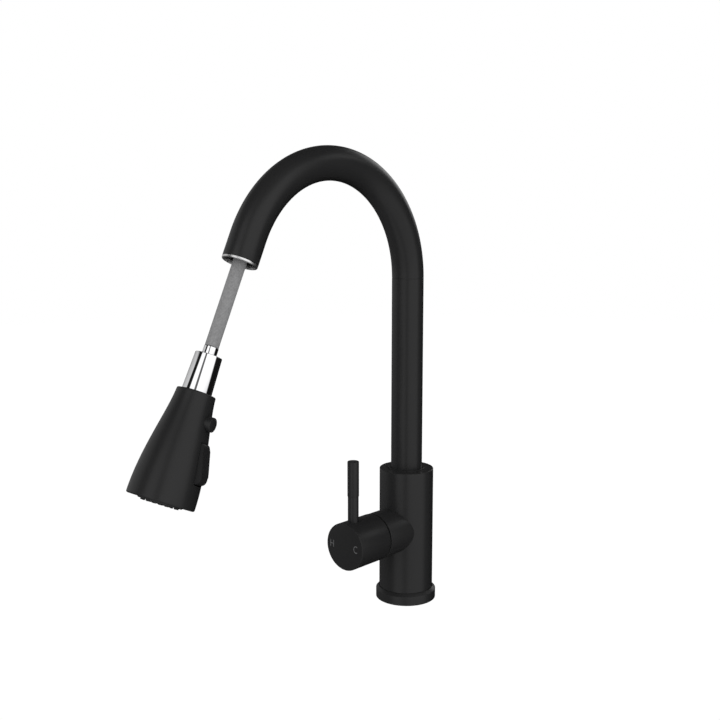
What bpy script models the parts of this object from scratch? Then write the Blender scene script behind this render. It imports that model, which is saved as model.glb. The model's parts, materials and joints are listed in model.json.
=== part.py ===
"""Pull-down kitchen faucet: a round body on a deck flange, a high arched swivel spout, a spray head on a
hose that pulls out of the spout, and a single side lever on a cap that turns and tilts.

Metres, +Z up. The origin is the middle of the deck face under the flange. The spout and the handle point
to -Y. Outlines are written in millimetres and scaled by MM when the mesh is made.
"""
import math

import bmesh
import bpy
from mathutils import Matrix, Vector

MM = 0.001

# ------------------------------------------------------------------ driving dimensions, millimetres
FLANGE_RADIUS = 27.25
FLANGE_SIDE = 8.1
BODY_RADIUS = 24.3
BODY_TOP = 121.6
BODY_WALL = 3.0
DECK_THICKNESS = 20.0
SHANK_RADIUS = 16.0
SHANK_BOTTOM = -62.0

PIPE_RADIUS = 14.0
PIPE_WALL = 1.2
BEND_START = 293.73
BEND_RADIUS = 97.76
BEND_ANGLE = math.radians(154.67)
TAIL_LENGTH = 20.6
TUBE_END = 0.7

HANDLE_HEIGHT = 67.0
STUB_RADIUS = 20.5
STUB_FACE = 43.9
PIVOT_DEPTH = 34.0
DOME_RADIUS = 22.8
CLEAR_RADIUS = 23.3
CAP_RADIUS = 20.8
CAP_FACE = 82.0
LEVER_DEPTH = 71.05
LEVER_STEP = 110.0
LEVER_TOP = 140.8

HOSE_RADIUS = 5.35
FERRULE_START = 67.2
STEM_START = 73.4
HEAD_TOP = 101.9
HEAD_LENGTH = 83.0
FLARE_LENGTH = 81.3
HEAD_WALL = 2.2
BUTTON_AT = 20.2
BUTTON_TURN = math.radians(22.0)
PADDLE_AT = 49.5
PADDLE_PIVOT = 17.6
NOZZLES = 10

INLET_X = 9.3
INLET_Y = -2.5
OUTLET_Y = -9.6
HOSE_Y = 5.0
LOOP_END = -113.0

for old in list(bpy.data.objects):
    bpy.data.objects.remove(old, do_unlink=True)


# ------------------------------------------------------------------ looks
LOOKS = {
    "black": ((0.020, 0.020, 0.021), 0.5, 0.45),
    "chrome": ((0.80, 0.80, 0.81), 1.0, 0.08),
    "steel": ((0.55, 0.55, 0.56), 1.0, 0.30),
    "brass": ((0.62, 0.44, 0.18), 1.0, 0.30),
    "rubber": ((0.030, 0.030, 0.030), 0.0, 0.80),
    "plastic": ((0.10, 0.10, 0.11), 0.0, 0.45),
    "white_plastic": ((0.75, 0.75, 0.73), 0.0, 0.40),
    "ceramic": ((0.85, 0.84, 0.80), 0.0, 0.20),
    "braid": ((0.22, 0.22, 0.23), 0.3, 0.60),
}


def material(name, look):
    """One Principled material for one object."""
    colour, metallic, roughness = LOOKS[look]
    made = bpy.data.materials.new(name + "_material")
    made.use_nodes = True
    shader = made.node_tree.nodes["Principled BSDF"]
    shader.inputs["Base Color"].default_value = (*colour, 1.0)
    shader.inputs["Metallic"].default_value = metallic
    shader.inputs["Roughness"].default_value = roughness
    made.diffuse_color = (*colour, 1.0)
    return made


# ------------------------------------------------------------------ shapes, in millimetres
def spun(outline, sides=24):
    """Solid of revolution about Z of a closed outline of (radius, height) points."""
    bm = bmesh.new()
    ring = [bm.verts.new((radius, 0.0, height)) for radius, height in outline]
    edges = []
    for here, there in zip(ring, ring[1:] + ring[:1]):
        if here.co.x > 0.0 or there.co.x > 0.0:
            edges.append(bm.edges.new((here, there)))
    bmesh.ops.spin(bm, geom=ring + edges, cent=(0, 0, 0), axis=(0, 0, 1), angle=2.0 * math.pi,
                   steps=sides, use_merge=True)
    bmesh.ops.remove_doubles(bm, verts=bm.verts, dist=0.0002)
    return bm


def rod(radius, low, high, sides=16):
    return spun([(0, low), (radius, low), (radius, high), (0, high)], sides)


def pipe(outer, inner, low, high, sides=20):
    return spun([(inner, low), (outer, low), (outer, high), (inner, high)], sides)


def prism(corners, low, high):
    """A polygon extruded along Z."""
    bm = bmesh.new()
    face = bm.faces.new([bm.verts.new((x, y, low)) for x, y in corners])
    grown = bmesh.ops.extrude_face_region(bm, geom=[face])
    tops = [item for item in grown["geom"] if isinstance(item, bmesh.types.BMVert)]
    bmesh.ops.translate(bm, verts=tops, vec=(0, 0, high - low))
    return bm


def block(x_low, x_high, y_low, y_high, z_low, z_high):
    return prism([(x_low, y_low), (x_high, y_low), (x_high, y_high), (x_low, y_high)], z_low, z_high)


def swept(frames, outer, inner=0.0, sides=22):
    """A round tube, or a round bar when inner is 0, through frames of (centre, side, up)."""
    bm = bmesh.new()
    walls = []
    for radius in [outer, inner] if inner else [outer]:
        rings = []
        for centre, side, up in frames:
            ring = []
            for step in range(sides):
                angle = 2.0 * math.pi * step / sides
                ring.append(bm.verts.new(centre + radius * (math.cos(angle) * side + math.sin(angle) * up)))
            rings.append(ring)
        for first, second in zip(rings, rings[1:]):
            for step in range(sides):
                after = (step + 1) % sides
                bm.faces.new((first[step], first[after], second[after], second[step]))
        walls.append(rings)
    for end in (0, -1):
        if inner:
            for step in range(sides):
                after = (step + 1) % sides
                bm.faces.new((walls[0][end][step], walls[0][end][after],
                              walls[1][end][after], walls[1][end][step]))
        else:
            bm.faces.new(walls[0][end])
    return bm


def grouped(shapes):
    """Several shapes in one mesh, each moved by its own matrix."""
    bm = bmesh.new()
    for shape, matrix in shapes:
        shape.transform(matrix)
        carrier = bpy.data.meshes.new("carrier")
        shape.to_mesh(carrier)
        shape.free()
        bm.from_mesh(carrier)
        bpy.data.meshes.remove(carrier)
    return bm


def shifted(x, y, z=0.0):
    return Matrix.Translation((x, y, z))


def placed(origin, x_axis=(1, 0, 0), z_axis=(0, 0, 1)):
    """World matrix of a frame: its origin in millimetres, its X and its Z."""
    x_axis = Vector(x_axis).normalized()
    z_axis = Vector(z_axis).normalized()
    y_axis = z_axis.cross(x_axis)
    matrix = Matrix((x_axis, y_axis, z_axis)).transposed().to_4x4()
    matrix.translation = Vector(origin) * MM
    return matrix


HOMES = {}


def carrier(name, matrix, parent=None):
    """A named joint frame; HOMES keeps its world matrix for the pieces under it."""
    empty = bpy.data.objects.new(name, None)
    empty.empty_display_size = 0.02
    bpy.context.scene.collection.objects.link(empty)
    hang(empty, matrix, parent)
    HOMES[name] = matrix
    return empty


def hang(thing, matrix, parent):
    """Put a thing at a world matrix under its parent."""
    if parent:
        thing.parent = parent
        thing.matrix_parent_inverse = HOMES[parent.name].inverted()
    thing.matrix_basis = matrix


def piece(name, bm, home, look, parent=None, sharp=30.0):
    """One physical piece: the mesh in millimetres, its world frame and its look."""
    bmesh.ops.scale(bm, vec=(MM, MM, MM), verts=bm.verts)
    bmesh.ops.recalc_face_normals(bm, faces=bm.faces)
    mesh = bpy.data.meshes.new(name)
    bm.to_mesh(mesh)
    bm.free()
    mesh.shade_smooth()
    mesh.set_sharp_from_angle(angle=math.radians(sharp))
    thing = bpy.data.objects.new(name, mesh)
    thing.data.materials.append(material(name, look))
    bpy.context.scene.collection.objects.link(thing)
    hang(thing, home, parent)
    return thing


def cutter(name, bm, home):
    """A tool body for a Boolean, kept out of the model itself."""
    tool = piece(name, bm, home, "plastic")
    tool.hide_render = True
    tool.display_type = "WIRE"
    return tool


def combine(thing, tool, operation="DIFFERENCE"):
    change = thing.modifiers.new(tool.name, "BOOLEAN")
    change.operation = operation
    change.solver = "EXACT"
    change.object = tool


def smooth_route(points, count):
    """Evenly spaced points on the natural cubic curve through the route's points."""
    knots = [0.0]
    for here, there in zip(points, points[1:]):
        knots.append(knots[-1] + (there - here).length)
    last = len(points) - 1
    # The second derivatives are zero at both ends and follow the usual three-term rule between them.
    scale = [0.0] * (last + 1)
    bends = [Vector((0, 0, 0)) for _ in points]
    for i in range(1, last):
        before = knots[i] - knots[i - 1]
        after = knots[i + 1] - knots[i]
        slope = (points[i + 1] - points[i]) / after - (points[i] - points[i - 1]) / before
        pivot = 2.0 * (before + after) - before * scale[i - 1]
        scale[i] = after / pivot
        bends[i] = (6.0 * slope - before * bends[i - 1]) / pivot
    for i in range(last - 1, 0, -1):
        bends[i] = bends[i] - scale[i] * bends[i + 1]
    route = []
    for step in range(count):
        at = knots[-1] * step / (count - 1)
        i = min(max(k for k in range(last + 1) if knots[k] <= at + 1e-9), last - 1)
        span = knots[i + 1] - knots[i]
        left = knots[i + 1] - at
        right = at - knots[i]
        curved = (bends[i] * left ** 3 + bends[i + 1] * right ** 3) / (6.0 * span)
        straight = (points[i] / span - bends[i] * span / 6.0) * left
        straight = straight + (points[i + 1] / span - bends[i + 1] * span / 6.0) * right
        route.append(curved + straight)
    return route


def hose(name, points, parent=None):
    """A length of braided hose: a bevelled curve with filled ends along points in world millimetres."""
    curve = bpy.data.curves.new(name, "CURVE")
    curve.dimensions = "3D"
    curve.bevel_depth = HOSE_RADIUS * MM
    curve.bevel_resolution = 2
    curve.render_resolution_u = 0
    curve.use_fill_caps = True
    line = curve.splines.new("POLY")
    line.points.add(len(points) - 1)
    for spot, point in zip(line.points, points):
        spot.co = (*(point * MM), 1.0)
    line.use_smooth = True
    thing = bpy.data.objects.new(name, curve)
    curve.materials.append(material(name, "braid"))
    bpy.context.scene.collection.objects.link(thing)
    hang(thing, Matrix.Identity(4), parent)
    return thing


# ------------------------------------------------------------------ the spout's centre line
def spout_point(back):
    """Centre and direction on the spout, at a distance back from the outlet."""
    if back <= TAIL_LENGTH:
        return OUTLET - OUTLET_AXIS * back, OUTLET_AXIS
    angle = BEND_ANGLE - (back - TAIL_LENGTH) / BEND_RADIUS
    if angle >= 0.0:
        centre = Vector((0, BEND_RADIUS * (math.cos(angle) - 1.0), BEND_START + BEND_RADIUS * math.sin(angle)))
        return centre, Vector((0, -math.sin(angle), math.cos(angle)))
    return Vector((0, 0, BEND_START + BEND_RADIUS * angle)), Vector((0, 0, 1))


OUTLET_AXIS = Vector((0, -math.sin(BEND_ANGLE), math.cos(BEND_ANGLE)))
OUTLET = Vector((0, BEND_RADIUS * (math.cos(BEND_ANGLE) - 1.0), BEND_START + BEND_RADIUS * math.sin(BEND_ANGLE)))
OUTLET = OUTLET + OUTLET_AXIS * TAIL_LENGTH
ARCH_LENGTH = TAIL_LENGTH + BEND_RADIUS * BEND_ANGLE

WORLD = Matrix.Identity(4)
HANDLE = placed((0, 0, HANDLE_HEIGHT), (1, 0, 0), (0, -1, 0))
HEAD = placed(OUTLET, (1, 0, 0), OUTLET_AXIS)
SIDE_X = Vector((1, 0, 0))
HEAD_FRONT = OUTLET_AXIS.cross(SIDE_X)
CONTROL = math.cos(BUTTON_TURN) * SIDE_X - math.sin(BUTTON_TURN) * HEAD_FRONT
BUTTON = placed(OUTLET + OUTLET_AXIS * (HEAD_TOP + BUTTON_AT), OUTLET_AXIS, CONTROL)
PADDLE_SPOT = OUTLET + OUTLET_AXIS * (HEAD_TOP + PADDLE_AT) + CONTROL * PADDLE_PIVOT
PADDLE = placed(PADDLE_SPOT, OUTLET_AXIS, CONTROL.cross(OUTLET_AXIS))
# In the frame ARM the height runs out from the head's axis at the paddle's pivot, and X runs down the head.
ARM = placed(OUTLET + OUTLET_AXIS * (HEAD_TOP + PADDLE_AT), OUTLET_AXIS, CONTROL)

spout_axis = carrier("spout_axis", WORLD)
hose_axis = carrier("hose_axis", HEAD, spout_axis)
head_axis = carrier("head_axis", HEAD, hose_axis)
button_axis = carrier("button_axis", BUTTON, head_axis)
paddle_axis = carrier("paddle_axis", PADDLE, head_axis)
diverter_axis = carrier("diverter_axis", HEAD, head_axis)
turn_axis = carrier("turn_axis", HANDLE)
tilt_axis = carrier("tilt_axis", placed((0, -PIVOT_DEPTH, HANDLE_HEIGHT)), turn_axis)
disc_axis = carrier("disc_axis", HANDLE, turn_axis)
weight_axis = carrier("weight_axis", WORLD)

# ------------------------------------------------------------------ flange, body and deck mounting
piece("base_flange", spun([
    (16.3, 0), (18.7, 0), (18.7, 2.1), (22.8, 2.1), (22.8, 0), (FLANGE_RADIUS, 0),
    (FLANGE_RADIUS, FLANGE_SIDE), (24.9, 10.6), (24.6, 10.6), (24.6, 3.4), (16.3, 3.4)]), WORLD, "black")
piece("base_gasket", pipe(22.5, 19.0, 0.0, 1.8, 24), WORLD, "rubber")
body_shell = piece("body_shell", spun([
    (BODY_RADIUS - BODY_WALL, 3.7), (BODY_RADIUS, 3.7), (BODY_RADIUS, BODY_TOP - 0.7),
    (BODY_RADIUS - 0.25, BODY_TOP - 0.2), (BODY_RADIUS - 0.8, BODY_TOP), (16.4, BODY_TOP),
    (16.4, BODY_TOP - 4.0), (BODY_RADIUS - BODY_WALL, BODY_TOP - 4.0)]), WORLD, "black")
combine(body_shell, cutter("stub_hole", rod(16.9, 8.0, 32.0, 24), HANDLE))
piece("mounting_shank", pipe(SHANK_RADIUS, 14.2, SHANK_BOTTOM, 12.0, 20), WORLD, "brass")
under = -DECK_THICKNESS
piece("clamp_gasket", pipe(27.0, 16.4, under - 3.0, under, 20), WORLD, "rubber")
piece("clamp_washer", pipe(27.0, 16.4, under - 4.8, under - 3.3, 20), WORLD, "steel")
hexagon = [(23.5 * math.cos(math.radians(60 * k)), 23.5 * math.sin(math.radians(60 * k))) for k in range(6)]
mounting_nut = piece("mounting_nut", prism(hexagon, under - 16.0, under - 5.1), WORLD, "brass")
combine(mounting_nut, cutter("nut_bore", rod(16.4, under - 20.0, under, 20), WORLD))
piece("swivel_sleeve", pipe(21.0, 16.2, 88.0, 117.0, 20), WORLD, "brass")

# ------------------------------------------------------------------ waterways inside the body
waterway_block = piece("waterway_block", prism([
    (-13.6, -14.5), (-11.0, -16.7), (11.0, -16.7), (13.6, -14.5), (13.6, 1.8), (4.9, 1.8), (4.9, -1.2),
    (-4.9, -1.2), (-4.9, 1.8), (-13.6, 1.8)], 50.0, 84.0), WORLD, "brass")
inlet_bore = [(0, 24), (3.7, 24), (3.7, 60), (2.4, 60), (2.4, 71), (0, 71)]
outlet_bore = [(0, 24), (3.7, 24), (3.7, 57.5), (2.4, 57.5), (2.4, 61), (0, 61)]
combine(waterway_block, cutter("block_sockets", grouped([
    (spun(inlet_bore, 12), shifted(INLET_X, INLET_Y)),
    (spun(inlet_bore, 12), shifted(-INLET_X, INLET_Y)),
    (spun(outlet_bore, 12), shifted(0, OUTLET_Y))]), WORLD))
combine(waterway_block, cutter("block_ports", grouped([
    (rod(2.5, 3.0, 20.0, 12), shifted(6.5, 3.5)),
    (rod(2.5, 3.0, 20.0, 12), shifted(-6.5, 3.5)),
    (rod(2.5, 8.0, 20.0, 12), shifted(0, -6.5))]), HANDLE))
inlet_outline = [
    (2.4, -90), (4.4, -90), (4.4, -74), (3.4, -74), (3.4, 59.7), (2.4, 59.7)]
piece("hot_inlet_pipe", spun(inlet_outline, 14), placed((-INLET_X, INLET_Y, 0)), "brass")
piece("cold_inlet_pipe", spun(inlet_outline, 14), placed((INLET_X, INLET_Y, 0)), "brass")
piece("outlet_pipe", pipe(3.4, 2.4, -72.0, 57.2, 14), placed((0, OUTLET_Y, 0)), "brass")
piece("outlet_connector", spun([
    (2.4, -98), (6.8, -98), (6.8, -68), (3.8, -68), (3.8, -74), (2.4, -74)], 14),
    placed((0, OUTLET_Y, 0)), "brass")
piece("hose_plug", spun([(2.4, -112), (6.3, -112), (6.3, -99.5), (5.0, -98.3), (2.4, -98.3)], 14),
      placed((0, OUTLET_Y, 0)), "steel")

# ------------------------------------------------------------------ valve stub and cartridge
valve_housing = piece("valve_housing", spun([
    (14.3, 17), (17.0, 17), (17.0, 12), (STUB_RADIUS, 12), (STUB_RADIUS, STUB_FACE),
    (16.6, STUB_FACE), (16.6, 38), (14.3, 38)]), HANDLE, "black")
saddle = cutter("stub_saddle", pipe(26.0, 16.5, 2.0, 30.0, 24), HANDLE)
combine(saddle, cutter("saddle_round", rod(BODY_RADIUS + 0.3, 30.0, 105.0, 56), WORLD), "INTERSECT")
combine(valve_housing, saddle)


def ported(name, shape, look, low, high, parent=None, reach=2.5):
    """A cartridge disc with its two inlet holes and its outlet hole."""
    thing = piece(name, shape, HANDLE, look, parent)
    holes = [(rod(reach, low, high, 12), shifted(x, y)) for x, y in ((6.5, 3.5), (-6.5, 3.5), (0, -6.5))]
    combine(thing, cutter(name + "_ports", grouped(holes), HANDLE))
    return thing


ported("cartridge_seal", rod(13.0, 17.0, 18.3, 20), "rubber", 16.0, 19.5, None, 2.8)
ported("cartridge_housing", spun([
    (0, 18.6), (14.0, 18.6), (14.0, 37.5), (9.3, 37.5), (9.3, 35.5), (12.2, 35.5), (12.2, 21.0), (0, 21.0)], 20),
    "white_plastic", 18.0, 22.0)
ported("fixed_disc", rod(11.9, 21.3, 24.3, 20), "ceramic", 21.0, 25.0)
moving_disc = piece("moving_disc", rod(9.0, 24.6, 27.1, 20), HANDLE, "ceramic", disc_axis)
combine(moving_disc, cutter("mixing_chamber", rod(7.4, 24.0, 25.9, 24), HANDLE))
piece("disc_carrier", pipe(9.0, 2.7, 27.4, 29.7, 20), HANDLE, "white_plastic", disc_axis)
turret = piece("cartridge_turret", spun([
    (0, 30.0), (11.9, 30.0), (11.9, 35.2), (9.0, 35.2), (9.0, 40.0), (0, 40.0)], 20),
    HANDLE, "white_plastic", turn_axis)
combine(turret, cutter("turret_slot", block(-2.8, 2.8, -6.4, 6.4, 29.0, 41.0), HANDLE))
CROSS = placed((0, -PIVOT_DEPTH, HANDLE_HEIGHT), (0, 1, 0), (1, 0, 0))
combine(turret, cutter("turret_cross_hole", rod(1.5, -13.0, 13.0, 16), CROSS))
piece("pivot_pin", rod(1.2, -8.0, 8.0, 16), CROSS, "steel", turn_axis)
piece("cartridge_nut", pipe(16.3, 10.5, 38.0, 43.6, 20), HANDLE, "brass")


def sphere_height(radius, across):
    """Depth from the body's axis of a sphere about the tilt pivot."""
    return PIVOT_DEPTH + math.sqrt(radius * radius - across * across)


dome = []
for across in (20.34, 18.6, 16.4, 13.8, 11.0):
    dome.append((across, sphere_height(DOME_RADIUS, across)))
for across in (11.0, 13.6, 16.2, 18.72):
    dome.append((across, sphere_height(DOME_RADIUS - 1.4, across)))
piece("cartridge_dome", spun(dome, 20), HANDLE, "black")

# ------------------------------------------------------------------ handle: stem, hub, cap and lever
stem = piece("cartridge_stem", block(-2.5, 2.5, -3.5, 3.5, 31.0, 62.0), HANDLE, "brass", tilt_axis)
combine(stem, cutter("stem_tip", rod(2.0, 28.3, 32.0, 16), HANDLE), "UNION")
combine(stem, cutter("stem_cross_hole", rod(1.5, -6.0, 6.0, 16), CROSS))
hub = [(0, sphere_height(CLEAR_RADIUS, 0))]
for across in (6.0, 10.0, 14.0, 17.9):
    hub.append((across, sphere_height(CLEAR_RADIUS, across)))
hub = hub + [(17.9, CAP_FACE - 3.9), (0, CAP_FACE - 3.9)]
hub = piece("handle_hub", spun(hub, 20), HANDLE, "brass", tilt_axis)
cap = [(CAP_RADIUS, sphere_height(CLEAR_RADIUS, CAP_RADIUS)), (CAP_RADIUS, CAP_FACE - 1.2),
       (CAP_RADIUS - 0.35, CAP_FACE - 0.35), (CAP_RADIUS - 1.2, CAP_FACE), (0, CAP_FACE),
       (0, CAP_FACE - 3.5), (18.2, CAP_FACE - 3.5), (18.2, sphere_height(CLEAR_RADIUS, 18.2))]
cap = piece("handle_cap", spun(cap), HANDLE, "black", tilt_axis)
LEVER = placed((0, -LEVER_DEPTH, 0))
combine(hub, cutter("hub_stem_socket", block(-2.8, 2.8, -3.8, 3.8, 50.0, 62.4), HANDLE))
lever_hole = cutter("lever_hole", rod(5.0, 76.0, 92.0, 20), LEVER)
combine(hub, lever_hole)
combine(cap, lever_hole)
piece("lever_rod", spun([
    (0, 76.3), (4.7, 76.3), (4.7, LEVER_STEP - 0.15), (3.4, LEVER_STEP - 0.15), (3.4, 136), (0, 136)], 20),
    LEVER, "black", tilt_axis)
piece("lever_sleeve", spun([
    (3.7, LEVER_STEP + 0.15), (5.0, LEVER_STEP + 0.15), (5.0, LEVER_TOP - 0.6), (4.4, LEVER_TOP),
    (0, LEVER_TOP), (0, 136.3), (3.7, 136.3)], 20), LEVER, "black", tilt_axis)
SCREW = placed((0, -59.0, HANDLE_HEIGHT), (1, 0, 0), (0, 0, -1))
combine(hub, cutter("screw_hole", rod(2.3, 3.0, 19.0, 20), SCREW))
combine(cap, cutter("plug_hole", rod(2.9, 16.0, 23.0, 20), SCREW))
set_screw = piece("set_screw", rod(2.0, 3.9, 14.0, 20), SCREW, "steel", tilt_axis)
socket = [(1.15 * math.cos(math.radians(60 * k)), 1.15 * math.sin(math.radians(60 * k))) for k in range(6)]
combine(set_screw, cutter("screw_socket", prism(socket, 11.5, 15.0), SCREW))
piece("set_screw_plug", spun([(0, 18.3), (2.6, 18.3), (2.6, 20.3), (2.2, 20.7), (0, 20.7)], 20),
      SCREW, "black", tilt_axis)

# ------------------------------------------------------------------ spout
spout_stations = [(Vector((0, 0, 92.0)), SIDE_X, Vector((0, 1, 0)))]
ARCH_STEPS = 15
for step in range(ARCH_STEPS + 1):
    spot, along = spout_point(ARCH_LENGTH - BEND_RADIUS * BEND_ANGLE * step / ARCH_STEPS)
    spout_stations.append((spot, SIDE_X, along.cross(SIDE_X)))
spot, along = spout_point(TUBE_END)
spout_stations.append((spot, SIDE_X, along.cross(SIDE_X)))
piece("spout_tube", swept(spout_stations, PIPE_RADIUS, PIPE_RADIUS - PIPE_WALL), WORLD, "black", spout_axis)
piece("spout_lower_bush", pipe(15.9, 14.3, 97.0, 104.0, 20), WORLD, "white_plastic", spout_axis)
piece("spout_upper_bush", pipe(15.9, 14.3, 106.0, 115.0, 20), WORLD, "white_plastic", spout_axis)
piece("spout_trim_ring", spun([
    (14.3, 117.6), (16.1, 117.6), (16.1, BODY_TOP + 0.1), (15.8, BODY_TOP + 0.4), (14.3, BODY_TOP + 0.4)]),
    WORLD, "black", spout_axis)
piece("outlet_ring", spun([
    (11.9, -10), (12.5, -10), (12.5, -0.4), (14.0, -0.4), (14.0, 0.8), (13.4, 1.5), (11.9, 1.5)]),
    HEAD, "steel", spout_axis)
piece("dock_bush", pipe(12.5, 11.7, -20.0, -10.3, 20), HEAD, "white_plastic", spout_axis)

# ------------------------------------------------------------------ the hose, from the connector to the head
riser_bottom = Vector((0, HOSE_Y, SHANK_BOTTOM - 3.7))
piece_top = Vector((0, HOSE_Y, 91.7))
hose("hose_in_body", smooth_route([riser_bottom, Vector((0, HOSE_Y, 10)), piece_top], 9))
inside = [Vector((0, HOSE_Y, 92.0)), Vector((0, 4.5, 130)), Vector((0, 3.0, 190)), Vector((0, 1.0, 250))]
for back in (270.0, 230.0, 190.0, 150.0, 110.0, 70.0, 50.0, 36.6):
    inside.append(spout_point(back)[0])
hose("hose_in_spout", smooth_route(inside, 26), spout_axis)
outside = [spout_point(back)[0] for back in (35.7, 29.0, 20.6, 10.0, 0.0)]
outside = outside + [OUTLET + OUTLET_AXIS * forward for forward in (15.0, 30.0, 50.0, 66.9)]
hose("hose_exposed", smooth_route(outside, 12), hose_axis)

# The spare length hangs below the deck in one loop and comes back up to the connector.
loop = [(HOSE_Y, -66.0), (5.0, -78.0), (7.2, -94.0), (14.5, -110.0), (26.5, -124.0), (42.0, -136.0),
        (58.0, -148.5), (70.5, -164.0), (76.5, -183.0), (75.5, -203.0), (67.0, -222.0), (53.0, -237.0),
        (34.0, -245.5), (13.0, -247.0), (-7.0, -240.5), (-23.5, -227.5), (-34.0, -209.5), (-37.0, -189.0),
        (-33.5, -169.5), (-24.5, -152.0), (-15.0, -136.0), (-10.8, -123.5), (OUTLET_Y, LOOP_END)]
loop = [Vector((0, y, z)) for y, z in loop]
hose("hose_loop", smooth_route(loop, 34))
WEIGHT = placed((0, 16.0, -246.6), (1, 0, 0), (0, -1, 0))
piece("hose_weight", spun([
    (7.4, -10), (12.0, -10), (13.2, -8.5), (13.2, 8.5), (12.0, 10), (7.4, 10)], 20), WEIGHT, "steel", weight_axis)

piece("hose_ferrule", spun([
    (3.2, FERRULE_START), (5.5, FERRULE_START), (5.5, STEM_START - 0.3), (3.2, STEM_START - 0.3)], 20),
    HEAD, "chrome", hose_axis)
piece("hose_nipple", spun([
    (1.8, 67.6), (2.9, 67.6), (2.9, 76.0), (5.2, 76.0), (5.2, 78.0), (2.9, 78.0), (2.9, 92.0), (1.8, 92.0)], 14),
    HEAD, "brass", hose_axis)

# ------------------------------------------------------------------ spray head
def head_radius(down):
    """Outer radius of the head shell: narrow at the top, swelling to the rim."""
    part = min(max(down / FLARE_LENGTH, 0.0), 1.0) ** 0.80
    return 14.7 + 10.7 * part * part * (3.0 - 2.0 * part)


piece("head_stem", spun([
    (3.3, STEM_START), (10.1, STEM_START), (10.3, STEM_START + 0.4), (11.2, HEAD_TOP - 0.1),
    (9.0, HEAD_TOP - 0.1), (9.0, HEAD_TOP + 12.0), (5.7, HEAD_TOP + 12.0), (5.7, 75.5), (3.3, 75.5)]),
    HEAD, "chrome", head_axis)
piece("check_valve", pipe(5.4, 2.6, 95.0, 107.0, 24), HEAD, "white_plastic", head_axis)

shell = [(9.4, HEAD_TOP + 0.3), (13.9, HEAD_TOP + 0.3), (14.55, HEAD_TOP + 0.6)]
stations = [1.2, 12, 24, 36, 48, 60, 70, HEAD_LENGTH - 1.2]
for down in stations:
    shell.append((head_radius(down), HEAD_TOP + down))
shell.append((head_radius(HEAD_LENGTH) - 0.8, HEAD_TOP + HEAD_LENGTH))
shell.append((head_radius(HEAD_LENGTH) - HEAD_WALL, HEAD_TOP + HEAD_LENGTH))
for down in reversed(stations[1:-1]):
    shell.append((head_radius(down) - HEAD_WALL, HEAD_TOP + down))
shell = shell + [(head_radius(3.0) - HEAD_WALL, HEAD_TOP + 3.0), (9.4, HEAD_TOP + 3.0)]
head_shell = piece("head_shell", spun(shell), HEAD, "black", head_axis)
combine(head_shell, cutter("button_hole", rod(6.0, 8.0, 30.0, 20), BUTTON))
combine(head_shell, cutter("paddle_slot", block(34.0 - PADDLE_AT, 65.0 - PADDLE_AT, -6.0, 6.0, 13.0, 34.0), ARM))

core = [(9.3, 4.0), (11.0, 4.0), (11.0, 66.4), (20.5, 66.4), (20.5, 70.0), (3.6, 70.0), (3.6, 12.4), (9.3, 12.4)]
core = [(radius, HEAD_TOP + down) for radius, down in core]
head_core = piece("head_core", spun(core, 20), HEAD, "plastic", head_axis)
combine(head_core, cutter("button_pocket", spun([
    (0, 2.0), (2.1, 2.0), (2.1, 8.5), (4.6, 8.5), (4.6, 14.0), (0, 14.0)], 14), BUTTON))
combine(head_core, cutter("arm_slot", block(-4.2, 3.4, -1.5, 1.5, 2.4, 14.0), ARM))
piece("diverter_spool", spun([
    (0, HEAD_TOP + 34), (3.3, HEAD_TOP + 34), (3.3, HEAD_TOP + 47.0), (2.1, HEAD_TOP + 47.0),
    (2.1, HEAD_TOP + 51.8), (3.3, HEAD_TOP + 51.8), (3.3, HEAD_TOP + 66), (0, HEAD_TOP + 66)], 14),
    HEAD, "white_plastic", diverter_axis)

nozzles = []
for step in range(NOZZLES):
    angle = 2.0 * math.pi * step / NOZZLES
    nozzles.append((11.0 * math.cos(angle), 11.0 * math.sin(angle)))
spray_face = piece("spray_face", spun([
    (6.2, HEAD_TOP + 75.5), (6.2, HEAD_TOP + 83.9), (15.9, HEAD_TOP + 83.9), (16.7, HEAD_TOP + 83.1),
    (16.7, HEAD_TOP + 70.3), (15.2, HEAD_TOP + 70.3), (15.2, HEAD_TOP + 75.5)]), HEAD, "plastic", head_axis)
combine(spray_face, cutter("nozzle_holes", grouped(
    [(rod(1.0, HEAD_TOP + 74, HEAD_TOP + 86, 6), shifted(x, y)) for x, y in nozzles]), HEAD))
nozzle_mat = piece("nozzle_mat", pipe(14.9, 6.3, HEAD_TOP + 73.6, HEAD_TOP + 75.2), HEAD, "rubber", head_axis)
combine(nozzle_mat, cutter("nozzle_tips", grouped(
    [(rod(0.65, HEAD_TOP + 74.5, HEAD_TOP + 84.5, 6), shifted(x, y)) for x, y in nozzles]), HEAD), "UNION")
piece("aerator", spun([
    (4.2, HEAD_TOP + 70.3), (5.9, HEAD_TOP + 70.3), (5.9, HEAD_TOP + 83.5), (4.2, HEAD_TOP + 83.5)], 20),
    HEAD, "white_plastic", head_axis)
piece("face_ring", pipe(21.6, 17.0, HEAD_TOP + 70.3, HEAD_TOP + 82.2, 24), HEAD, "plastic", head_axis)

# ------------------------------------------------------------------ pause button and mode paddle
piece("pause_button", spun([
    (0, 6.0), (1.7, 6.0), (1.7, 14.0), (5.6, 14.0), (5.45, 21.0), (4.9, 21.6), (0, 22.0)], 20),
    BUTTON, "plastic", button_axis)
spring_turns = []
for step in range(3 * 12 + 1):
    angle = 2.0 * math.pi * step / 12
    height = 9.3 + 3.9 * step / 36
    outward = Vector((math.cos(angle), math.sin(angle), 0))
    spring_turns.append((outward * 3.3 + Vector((0, 0, height)), outward, Vector((0, 0, 1))))
piece("button_spring", swept(spring_turns, 0.35, 0.0, 5), BUTTON, "steel", button_axis)

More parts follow.
